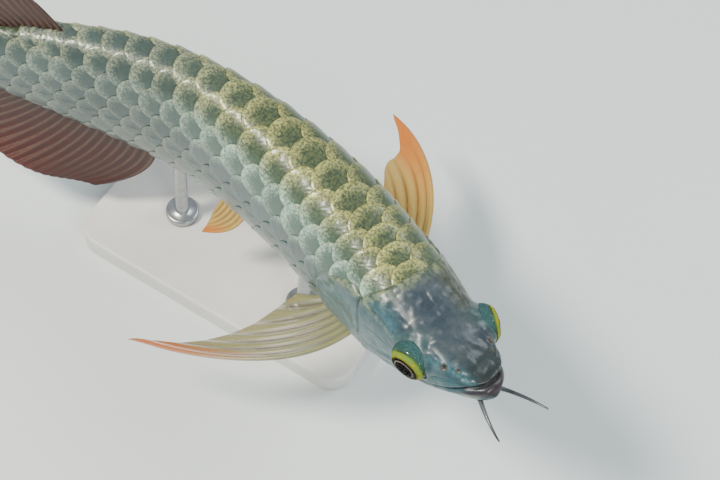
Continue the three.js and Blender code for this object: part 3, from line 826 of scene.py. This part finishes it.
def scale_places():
    """Row and place of each scale, and its number along the row."""
    at = np.linspace(PITCHES[0][0], LAST_SCALE_AT, 800)
    pitch = np.interp(at, *zip(*PITCHES))
    number = np.concatenate([[0], np.cumsum(np.diff(at) / pitch[1:])])
    number -= np.interp(FIRST_SCALE_AT, at, number)
    found = []
    for row in range(1 - BELLY_ROW, BELLY_ROW + 1):
        shift = 0.5 * (row % 2)
        for step in range(math.ceil(number[0] - shift), math.floor(number[-1] - shift) + 1):
            scale_at = np.interp(step + shift, number, at)
            share = row_share(abs(row), scale_at)
            height = section(scale_at, angle_at(scale_at, share))[1]
            past_head = ahead_of_edge(scale_at, height) < 0.9
            on_middle = abs(row) in (0, BELLY_ROW)
            clear_of_fins = scale_at < FIN_BASE_AT if on_middle else 0.03 < share < 0.97
            if past_head and clear_of_fins:
                found.append((row, scale_at, step + shift - number[0]))
    return np.array(found), number[-1] - number[0]


def scale_pattern():
    """One scale's points as (back, across, ring), its faces, and their corners' places on its patch."""
    rings = 1 - (1 - np.arange(1, SCALE_RINGS + 1) / SCALE_RINGS) ** 1.2
    turn = circle(SCALE_SPOKES)
    ring, angle = np.meshgrid(rings, turn, indexing="ij")
    rim_angle = np.concatenate([[0], angle.ravel(), turn, [0]])
    out = np.concatenate([[0], ring.ravel(), np.ones(SCALE_SPOKES), [0]])
    back = np.cos(rim_angle) * out
    across = np.sin(rim_angle) * out
    under = np.arange(len(out)) >= 1 + SCALE_RINGS * SCALE_SPOKES
    spoke = np.arange(SCALE_SPOKES)
    following = (spoke + 1) % SCALE_SPOKES
    quads = 1 + grid_quads(SCALE_RINGS + 1, SCALE_SPOKES, closed=True)
    top_fan = stacked(0, 1 + following, 1 + spoke)
    lowest = 1 + SCALE_RINGS * SCALE_SPOKES
    under_fan = stacked(len(out) - 1, lowest + spoke, lowest + following)
    spread = stacked(across, back) * 0.9
    spread[lowest:] *= 1.07
    small = stacked(across, back) * 0.08 + 0.88
    corner_maps = [spread[quads], spread[top_fan], small[under_fan]]
    return back, across, out, under, [quads, top_fan, under_fan], corner_maps


def make_scales():
    luck = np.random.default_rng(7)
    places_found, total = scale_places()
    row, at, number = places_found.T
    back, across, out, under, face_sets, corner_maps = scale_pattern()
    one_each = (len(row), 1)
    row_wide, at_wide = row[:, None], at[:, None]
    pitch = np.interp(at_wide, *zip(*PITCHES))
    row_gap = mix(1 / BELLY_ROW, 1 / REAR_ROWS, rows_closing(at_wide)) * half_round(at_wide)
    tilt = luck.normal(0, 0.03, one_each)
    size = luck.normal(1, 0.02, one_each)
    shade = luck.uniform(0, 1, one_each)
    phases = [luck.uniform(0, 2 * math.pi, one_each) for _ in range(4)]
    reach_back = np.where(back > 0, SCALE_REAR, SCALE_FRONT) * back * pitch * size
    reach_across = SCALE_HALF * across * row_gap * size
    along = reach_back - tilt * reach_across
    aside = reach_across + tilt * reach_back
    scale_at = np.clip(at_wide + along, 12, 103)
    share = np.where(row_wide < 0, -1, 1) * row_share(abs(row_wide), scale_at) + aside / half_round(scale_at)

    dark_back = -0.15
    past = np.maximum(reach_back / pitch - dark_back, 0) / (SCALE_REAR - dark_back)
    rim = np.hypot(past, across * 0.86)
    rise = (reach_back / pitch + SCALE_FRONT) / (SCALE_REAR + SCALE_FRONT)
    lift = mix(-0.15, 1.5, rise) + 0.14 * hump(rim - 0.8, 0.16) - 0.14 * smooth((out - 0.9) / 0.1)
    ripples = np.sin(reach_back * 9 + phases[0]) * np.sin(reach_across * 8 + phases[1])
    ripples += np.sin(reach_back * 5 + phases[2] + reach_across * 4) * np.sin(reach_across * 5 + phases[3])
    lift += 0.035 * ripples
    line = (abs(row_wide) == LINE_ROW) * hump(across, 0.07) * hump(reach_back / pitch - 0.15, 0.28)
    lift = (lift + 0.3 * line) * MM_IN_UNITS - np.where(under, SCALE_THICKNESS, 0)
    normals = body_normal(scale_at, share, -COAT)
    points = body_point(scale_at, share, -COAT) + normals * (lift * UNIT)[..., None]

    # The far mask marks the upper rows on the fish's left side, which the scale colours paint in shade.
    round_share = (share + 1) % 2 - 1
    far = smooth((round_share - 0.02) / 0.12) * (1 - smooth((share - 0.3) / 0.1))
    masks = {"down": np.abs(round_share), "along": scale_at / 100, "rim": np.clip(rim, 0, 1),
             "luck": shade + 0 * rim, "far": far}
    patch = np.array([1 / (2 * BELLY_ROW + 0.4), 1 / (total + 1.2)])
    roots = stacked(row + BELLY_ROW - 0.3, number + 0.6) * patch
    material = scale_material()
    for name, (start, end) in COAT_PARTS.items():
        chosen = np.flatnonzero((at >= start) & (at < end))
        shifts = (np.arange(len(chosen)) * len(out))[:, None, None]
        faces = [(face + shifts).reshape(-1, face.shape[1]) for face in face_sets]
        spots = [roots[chosen][:, None, None] + corners * patch * 0.46 for corners in corner_maps]
        chosen_masks = {mask: values[chosen] for mask, values in masks.items()}
        mesh = new_mesh(name, points[chosen], faces, chosen_masks, spots)
        add_piece(mesh, material, FLESH_NODES[4:])


make_scales()


# The eyes: a ball with a set-in iris, under a clear cornea
EYE_SPOKES = 96
IRIS_DEPTH, IRIS_LINE, CORNEA = 0.22, 0.505, 0.08


def eye_rings(side, reach, depth):
    """Rings about an eye's axis, from pairs of distance from the axis and depth along it, in units."""
    turn = -side * circle(EYE_SPOKES)
    back, up, depth = reach[:, None] * np.cos(turn), reach[:, None] * np.sin(turn), depth[:, None]
    c, s = math.cos(side * EYES_ROLLED), math.sin(side * EYES_ROLLED)
    up, depth = up * c + depth * s, depth * c - up * s
    at = EYE_AT - (LEFT_EYE_AHEAD if side > 0 else 0) + back * math.cos(EYE_TOE) - depth * math.sin(EYE_TOE)
    out = EYE_MIDDLE + back * math.sin(EYE_TOE) + depth * math.cos(EYE_TOE)
    return place(at, side * out, EYE_HEIGHT + up)


def make_eye(side, name):
    around_axis = np.linspace(0.01, math.pi - 0.01, 90)
    reach = np.sin(around_axis)
    recess = IRIS_DEPTH * (1 - smooth((reach - 0.56) / 0.14)) - 0.03 * hump(reach - IRIS_LINE, 0.03)
    front = around_axis < math.pi / 2
    depth = EYE_DEPTH * np.cos(around_axis) - np.where(front, recess, 0)
    points = eye_rings(side, reach * EYE_RADIUS, depth)
    ball = tube(name + "_ball", points, {"reach": np.where(front, reach, 1)[:, None]})
    add_piece(ball, eye_material(), [name])
    outside = np.linspace(0.01, 1.3, 44)
    inside = outside[::-1]
    reach = np.concatenate([np.sin(outside) * EYE_RADIUS, np.sin(inside) * (EYE_RADIUS - CORNEA)])
    depth = np.concatenate([np.cos(outside) * EYE_DEPTH + 0.03, np.cos(inside) * (EYE_DEPTH - CORNEA)])
    rim = np.minimum(reach / EYE_RADIUS, 1)[:, None]
    cornea = tube(name + "_cornea", eye_rings(side, reach, depth), {"reach": rim})
    add_piece(cornea, cornea_material(), [name])


make_eye(1, "eye_left")
make_eye(-1, "eye_right")

# The fins. Each is a fan from a root line inside the body to a curved margin, and a ray leaves its root
# toward its bend. Points are at, out and height. Out is left on the middle fins, and away from the body on
# the others.
MAROON = {"tip": 0.5, "stout": 0.22, "look": "maroon_fin"}
PECTORAL_ROOT = [(20, 2.9, -8), (26, 2.6, -8.4)]
FINS = {
    "dorsal_fin": {
        "root": [(71.5, 0, 8.2), (88, 0, 3.9)],
        "bend": [(72.6, 0, 11), (92.5, 0, 6)],
        "margin": [(75, 0, 13.4), (81, 0, 17.2), (88, 0, 17.4), (94, 0, 14.8), (97, 0, 10.8),
                   (95.6, 0, 7.4)],
        "rays": 19, "wave": 0.35, "waves": 1.4, **MAROON,
    },
    "anal_fin": {
        "root": [(60.4, 0, -10.4), (89, 0, -3.8)],
        "bend": [(60, -0.6, -18.8), (94, -0.1, -5.8)],
        "margin": [(69.3, -3.5, -21.6), (77, -4, -20.8), (86, -3, -17), (94.5, -1.4, -11.8),
                   (96, -0.4, -7.6)],
        "rays": 27, "wave": 0.4, "waves": 1.8, **MAROON,
    },
    "tail_fin": {
        "root": [(98, 0, 4), (98, 0, -4)],
        "bend": [(104, 0, 6.6), (104, 0, -6.6)],
        "margin": [(110, 0, 9), (114.6, 0, 6.6), (117, 0, 0), (114.6, 0, -6.6), (110, 0, -9)],
        "rays": 15, "wave": 0.3, "waves": 1.2, **MAROON,
    },
    "pectoral_fin_left": {
        "root": PECTORAL_ROOT,
        "bend": [(30, 24.2, -10), (29, 8, -8.6)],
        "margin": [(42.7, 27.5, -16.5), (37.8, 22, -13.6), (36.8, 17.8, -11.6), (33.9, 13.7, -9.2)],
        "rays": 6, "wave": 0.15, "waves": 1.5, "tip": 0.75, "stout": 0.32, "look": "golden_fin",
    },
    "pectoral_fin_right": {
        "root": PECTORAL_ROOT,
        "bend": [(19, 17.8, -10.6), (28.2, 4.6, -9)],
        "margin": [(44.6, 24.3, -16.5), (36, 19.4, -14.4), (30.8, 13.2, -12), (29.6, 5.5, -9.6)],
        "rays": 7, "wave": 0.12, "waves": 1.6, "tip": 0.35, "stout": 0.3, "look": "pale_fin",
    },
    "pelvic_fin_left": {
        "root": [(44.2, 1.4, -12), (48.6, 1.6, -12)],
        "bend": [(44.3, 3.6, -16.3), (49, 2.2, -13.4)],
        "margin": [(49.6, 5.1, -18), (49.2, 4.4, -16.4), (48.9, 3.2, -14.4)],
        "rays": 6, "wave": 0.1, "waves": 1.2, "tip": 0.8, "stout": 0.25, "look": "golden_fin",
    },
}
FINS["pelvic_fin_right"] = FINS["pelvic_fin_left"]


def smooth_curve(corners, t):
    """Centripetal Catmull-Rom curve through the corners, at t from 0 to 1."""
    corners = np.asarray(corners, float)
    corners = np.concatenate([[2 * corners[0] - corners[1]], corners, [2 * corners[-1] - corners[-2]]])
    pieces = len(corners) - 3
    i = np.clip((t * pieces).astype(int), 0, pieces - 1)
    w = (t * pieces - i)[..., None]
    p0, p1, p2, p3 = (corners[i + k] for k in range(4))
    pairs = ((p0, p1), (p1, p2), (p2, p3))
    d0, d1, d2 = (np.sqrt(np.linalg.norm(b - a, axis=-1, keepdims=True)) for a, b in pairs)
    start = ((p1 - p0) / d0 - (p2 - p0) / (d0 + d1) + (p2 - p1) / d1) * d1
    end = ((p2 - p1) / d1 - (p3 - p1) / (d1 + d2) + (p3 - p2) / d2) * d1
    return p1 + start * w + (3 * (p2 - p1) - 2 * start - end) * w**2 + (2 * (p1 - p2) + start + end) * w**3


def fan_points(fin, side, u, v):
    """Middle surface of a fin: u runs from root to margin, v from the first ray to the last."""
    root, bend = (mix(np.array(line[0], float), np.array(line[1], float), v[..., None])
                  for line in (fin["root"], fin["bend"]))
    margin = smooth_curve(fin["margin"], v)
    w = u[..., None]
    spot = (1 - w) ** 2 * root + 2 * w * (1 - w) * bend + w**2 * margin
    wave = fin["wave"] * np.sin(2 * math.pi * (v * fin["waves"] + 0.12)) * u**2
    level = abs(fin["margin"][0][1]) > 4
    left = side * spot[..., 1] + (0 if level else wave)
    return place(spot[..., 0], left, spot[..., 2] + (wave if level else 0))


def make_fin(name, fin, side, material):
    rays, rows = fin["rays"], 64
    per_ray = 10
    columns = rays * per_ray
    u, v = np.meshgrid(np.linspace(0, 1, rows), np.linspace(0, 1, columns), indexing="ij")
    spot = v * (rays - 0.3) - 0.35
    aside = spot - np.clip(np.round(spot), 0, rays - 1)
    first = np.round(spot) <= 0
    fork = np.where(first, 0.05, 0.17) * smooth((u - 0.5) / 0.5)
    width = fin["stout"] * mix(1, 0.6, u)
    ray = np.maximum(hump(aside - fork, width), hump(aside + fork, width))
    fold = hump(np.abs(aside) - 0.5, 0.1) * smooth((0.97 - u) / 0.3) * ~first
    notch = 0.006 * (1 - hump(aside, 0.3)) * u**10
    middle = fan_points(fin, side, u * (1 - notch), v)
    normals = unit_vectors(np.cross(np.gradient(middle, axis=0), np.gradient(middle, axis=1)))
    thickness = mix(0.36, 0.13, u) + ray * mix(0.95, 0.2, u) * np.where(first, 1.5, 1)
    half = normals * (thickness / 2 * MM)[..., None]
    points = np.concatenate([middle - half, (middle + half)[:, ::-1]], axis=1)
    masks = {"ray": ray, "fold": fold, "out": u, "tip": u * (1 - smooth((v - 0.12) / fin["tip"]))}
    masks = {mask: np.concatenate([values, values[:, ::-1]], axis=1) for mask, values in masks.items()}

    around = 2 * columns
    quads = grid_quads(rows, around, closed=True)
    column = np.arange(columns - 1)
    strip = stacked(column, column + 1, around - 2 - column, around - 1 - column)
    strips = [strip[:, ::-1], (rows - 1) * around + strip]
    across = 0.01 + 0.98 * map_columns(quads, around) / around
    maps = [stacked(across, 0.03 + 0.94 * (quads // around) / (rows - 1))]
    left, right = (0.01 + 0.98 * (column + i) / around for i in (0, 1))
    strip_across = stacked(left, right, right, left)
    for low, turning in ((0.01, -1), (0.98, 1)):
        strip_map = stacked(strip_across, low + np.array([0, 0, 0.01, 0.01]))
        maps.append(strip_map[:, ::turning])
    mesh = new_mesh(name + "_rays", points, [quads, *strips], masks, maps)
    add_piece(mesh, material, [name])


# Of each kind of fin: membrane, rays, folds, tip and clearness
FIN_LOOKS = {
    "maroon_fin": (("#2b1815", "#38221d"), ("#4b362e", "#5a4338"), "#281411", "#2f1c18", 0.04),
    "golden_fin": (("#a1843a", "#b3974a"), ("#b5964a", "#bd9f55"), "#5c4a22", "#c06a1c", 0.08),
    "pale_fin": (("#74785a", "#7f8568"), ("#7f8055", "#8a8a5c"), "#55553f", "#b4642a", 0.62),
}


def make_fins():
    materials = {name: fin_material(name, *colours) for name, colours in FIN_LOOKS.items()}
    for name, fin in FINS.items():
        side = -1 if name.endswith("right") else 1
        make_fin(name, fin, side, materials[fin["look"]])


make_fins()


# Barbels: two tapering feelers from the tip of the lower jaw
BARBEL_RINGS, BARBEL_SPOKES = 72, 20
BARBELS = {
    "barbel_left": (1, [(0.5, 0.9, 8.6), (-2, 3.6, 8), (-5.4, 4.6, 9.2)]),
    "barbel_right": (-1, [(0.5, 0.9, 8.6), (-3.1, 1.8, 7.7), (-5.5, 2.2, 8.6)]),
}


def make_barbels():
    material = barbel_material()
    t = np.linspace(0, 1, BARBEL_RINGS)[:, None]
    turn = circle(BARBEL_SPOKES)
    for name, (side, corners) in BARBELS.items():
        first, middle, last = np.array(corners, float)
        path = (1 - t) ** 2 * first + 2 * t * (1 - t) * middle + t**2 * last
        radius = mix(1.05, 0.35, t) + 0.25 * hump(t, 0.12)
        radius = radius * np.sqrt(np.clip((1.002 - t) / 0.02, 0, 1)) * MM_IN_UNITS
        left = side * path[:, 1:2] + radius * np.sin(turn) * 0.9
        height = path[:, 2:3] + radius * np.cos(turn)
        at = path[:, 0:1] + radius * np.sin(turn) * side * 0.45
        points = place(at, left, height)[:, ::-1]
        mesh = tube(name + "_feeler", points, {"out": t})
        add_piece(mesh, material, [name])


make_barbels()


# Stand
CORNER_STEPS, ROD_SPOKES = 14, 48


def base_outline(inset):
    """The base's rounded outline, moved inward."""
    spots = []
    for quarter, (x, y) in enumerate([(1, 1), (-1, 1), (-1, -1), (1, -1)]):
        turn = (quarter + np.linspace(0, 1, CORNER_STEPS)) * math.pi / 2
        middle = x * (BASE_LENGTH / 2 - BASE_CORNER), y * (BASE_WIDTH / 2 - BASE_CORNER)
        spots.append(middle + (BASE_CORNER - inset) * stacked(np.cos(turn), np.sin(turn)))
    return np.concatenate(spots)


def make_base():
    bend = np.linspace(0, math.pi / 2, 9)
    insets = BASE_BEVEL * (1 - np.sin(bend))
    heights = BASE_BEVEL * (1 - np.cos(bend))
    profile = [(BASE_CORNER * 0.6, 0), *zip(insets, heights),
               *zip(insets[::-1], BASE_HEIGHT - heights[::-1]), (BASE_CORNER * 0.6, BASE_HEIGHT)]
    rings = [stacked(*base_outline(inset).T, height) for inset, height in profile]
    base = tube("stand_base_painted", np.array(rings), {})
    add_piece(base, paint_material(), ["stand_base"])


def make_rods():
    """Two rods, each with a collar on the base and a small flare under the belly."""
    material = steel_material()
    turn = circle(ROD_SPOKES)
    collar_top = BASE_HEIGHT + COLLAR_HEIGHT
    collar_edge = [(COLLAR_RADIUS - MM * (1 - math.cos(a)), collar_top - MM * (1 - math.sin(a)))
                   for a in np.linspace(0, math.pi / 2, 6)]
    for name, at, foot in zip(("stand_rod_front", "stand_rod_rear"), ROD_PLACES, ROD_FEET):
        top = LIFT + along_outline(at, BELLY) * UNIT + 0.7 * MM
        flare = [(ROD_RADIUS + 1.4 * MM * t**2, top - 4 * MM * (1 - t)) for t in np.linspace(0, 1, 8)]
        profile = [(COLLAR_RADIUS - 0.3 * MM, BASE_HEIGHT), (COLLAR_RADIUS, BASE_HEIGHT + 0.3 * MM),
                   *collar_edge, (ROD_RADIUS + 0.5 * MM, collar_top),
                   (ROD_RADIUS, collar_top + 0.5 * MM), *flare]
        reach, height = np.array(profile).T[:, :, None]
        x = foot[0] - BASE_MIDDLE[0] + reach * np.cos(turn)
        y = foot[1] - BASE_MIDDLE[1] + reach * np.sin(turn)
        add_piece(tube(name + "_steel", stacked(x, y, height), {}), material, [name])


make_base()
make_rods()


# Floor, lights and camera
CAMERA_AZIMUTH, CAMERA_ELEVATION, CAMERA_ROLL = math.radians(48.4), math.radians(60.7), math.radians(9.7)
CAMERA_DISTANCE = 1.753 * LENGTH
CAMERA_TARGET = (-0.273 * LENGTH, 0.016 * LENGTH, 0)
CAMERA_LENS, CAMERA_SENSOR = 70, 36
FLOOR_REACH = 6.0


def make_camera():
    azimuth = CAMERA_AZIMUTH + CHORD_TURN
    flat = math.cos(CAMERA_ELEVATION)
    back = Vector((math.sin(azimuth) * flat, -math.cos(azimuth) * flat, math.sin(CAMERA_ELEVATION)))
    right = Vector((0, 0, 1)).cross(back).normalized()
    up = back.cross(right)
    c, s = math.cos(CAMERA_ROLL), math.sin(CAMERA_ROLL)
    axes = Matrix((c * right + s * up, c * up - s * right, back)).transposed()
    data = bpy.data.cameras.new("camera")
    data.lens = CAMERA_LENS
    data.sensor_width = CAMERA_SENSOR
    data.clip_start = 0.01
    camera = add_object("camera", data)
    spot = Vector(to_frame(*CAMERA_TARGET)) + back * CAMERA_DISTANCE
    camera.matrix_world = Matrix.Translation(spot) @ axes.to_4x4()
    bpy.context.scene.camera = camera


def add_light(name, place_at, size, power, tint):
    data = bpy.data.lights.new(name, "AREA")
    data.shape = "DISK"
    data.size = size
    data.energy = power
    data.color = tint
    light = add_object(name, data)
    light.location = place_at
    light.rotation_mode = "QUATERNION"
    light.rotation_quaternion = (-Vector(place_at)).to_track_quat("-Z", "Y")


def make_studio():
    floor_mesh = bpy.data.meshes.new("floor")
    corners = [(FLOOR_REACH * x, FLOOR_REACH * y, 0) for x, y in ((-1, -1), (1, -1), (1, 1), (-1, 1))]
    floor_mesh.from_pydata(corners, [], [(0, 1, 2, 3)])
    look = Surface("pale_floor", Roughness=0.6)
    floor_mesh.materials.append(look.finish(
        Base_Color=look.ramp(look.noise(0.4, 3), [(0.3, "#d3dad8"), (0.7, "#dde2df")])))
    add_object("floor", floor_mesh)
    world = bpy.data.worlds.new("studio")
    world.use_nodes = True
    background = world.node_tree.nodes["Background"].inputs
    background["Color"].default_value = (0.86, 0.93, 1.0, 1)
    background["Strength"].default_value = 0.55
    bpy.context.scene.world = world
    add_light("key", (-0.55, -0.5, 1.2), 0.3, 26, (1.0, 0.96, 0.86))
    add_light("fill", (0.6, 0.7, 1.0), 0.8, 9, (0.88, 0.96, 1.0))
    add_light("front", (0.9, -0.5, 0.7), 0.4, 5, (0.95, 0.98, 1.0))


make_camera()
make_studio()
